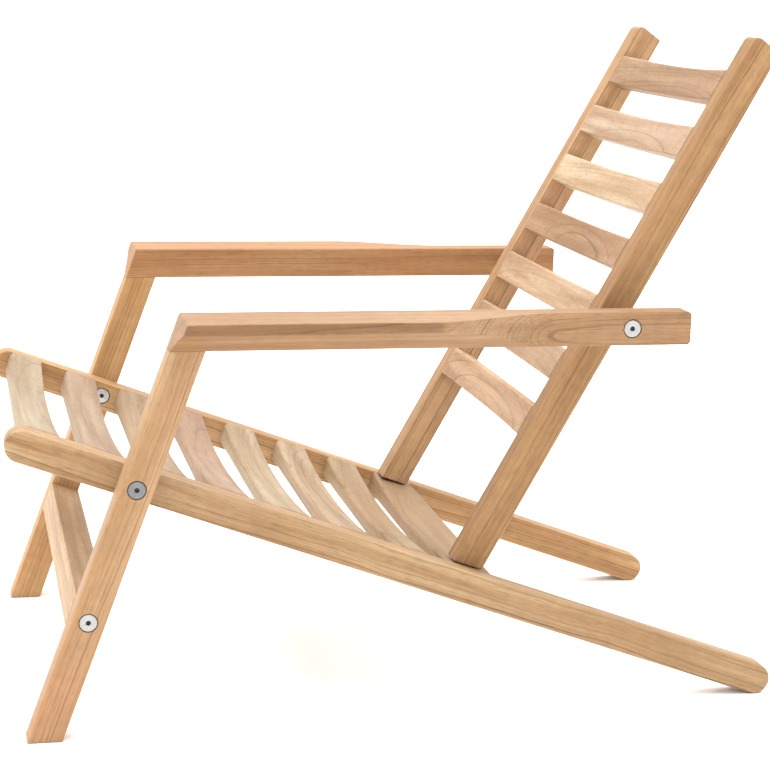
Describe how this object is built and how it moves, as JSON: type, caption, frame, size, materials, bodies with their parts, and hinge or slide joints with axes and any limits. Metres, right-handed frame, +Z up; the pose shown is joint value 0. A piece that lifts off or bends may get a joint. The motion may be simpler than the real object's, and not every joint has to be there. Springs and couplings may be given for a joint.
{
  "type": "folding deck chair",
  "caption": "Low slatted wooden deck chair with broad level armrests and a leaning back; the back folds down flat to the seat as the arms lower.",
  "frame": {"origin": "on the floor, under the middle of the chair's outline as it stands open", "axes": "+Z up, -Y towards the front of the seat, +X to the sitter's left"},
  "size_m": [0.724, 0.9954, 0.8577],
  "materials": {
    "teak": "fine sanded, unvarnished teak",
    "stainless": "turned and brushed stainless steel"
  },
  "bodies": {
    "leg_frame": {"arm_dowel_left_1": "teak", "arm_dowel_left_2": "teak", "arm_dowel_right_1": "teak", "arm_dowel_right_2": "teak", "arm_left": "teak", "arm_right": "teak", "leg_left": "teak", "leg_right": "teak", "leg_stretcher": "teak", "seat_pivot_bolt_left": "stainless", "seat_pivot_bolt_right": "stainless", "seat_pivot_sleeve_left": "stainless", "seat_pivot_sleeve_right": "stainless", "seat_pivot_washer_left": "stainless", "seat_pivot_washer_right": "stainless", "stretcher_bolt_left": "stainless", "stretcher_bolt_right": "stainless", "stretcher_nut_left": "stainless", "stretcher_nut_right": "stainless"},
    "seat_frame": {"seat_rail_left": "teak", "seat_rail_right": "teak", "seat_slat_1": "teak", "seat_slat_2": "teak", "seat_slat_3": "teak", "seat_slat_4": "teak", "seat_slat_5": "teak", "seat_slat_6": "teak", "seat_slat_7": "teak", "seat_slat_8": "teak"},
    "backrest": {"back_pivot_bolt_left": "stainless", "back_pivot_bolt_right": "stainless", "back_pivot_insert_left": "stainless", "back_pivot_insert_right": "stainless", "back_pivot_spacer_left": "stainless", "back_pivot_spacer_right": "stainless", "back_slat_1": "teak", "back_slat_2": "teak", "back_slat_3": "teak", "back_slat_4": "teak", "back_slat_5": "teak", "back_slat_6": "teak", "back_slat_7": "teak", "back_stile_left": "teak", "back_stile_right": "teak"}
  },
  "joints": [
    {"name": "seat_pivot", "type": "hinge", "parent": "leg_frame", "child": "seat_frame", "pos_m": [0, -0.34364, 0.31276], "axis": [1, 0, 0], "range_deg": [0, 10.1]},
    {"name": "back_pivot", "type": "hinge", "parent": "leg_frame", "child": "backrest", "pos_m": [0, 0.26823, 0.50125], "axis": [-1, 0, 0], "range_deg": [0, 70.7]}
  ],
  "couplings": [
    {"joint": "back_pivot", "follows": "seat_pivot", "ratio": 7}
  ]
}
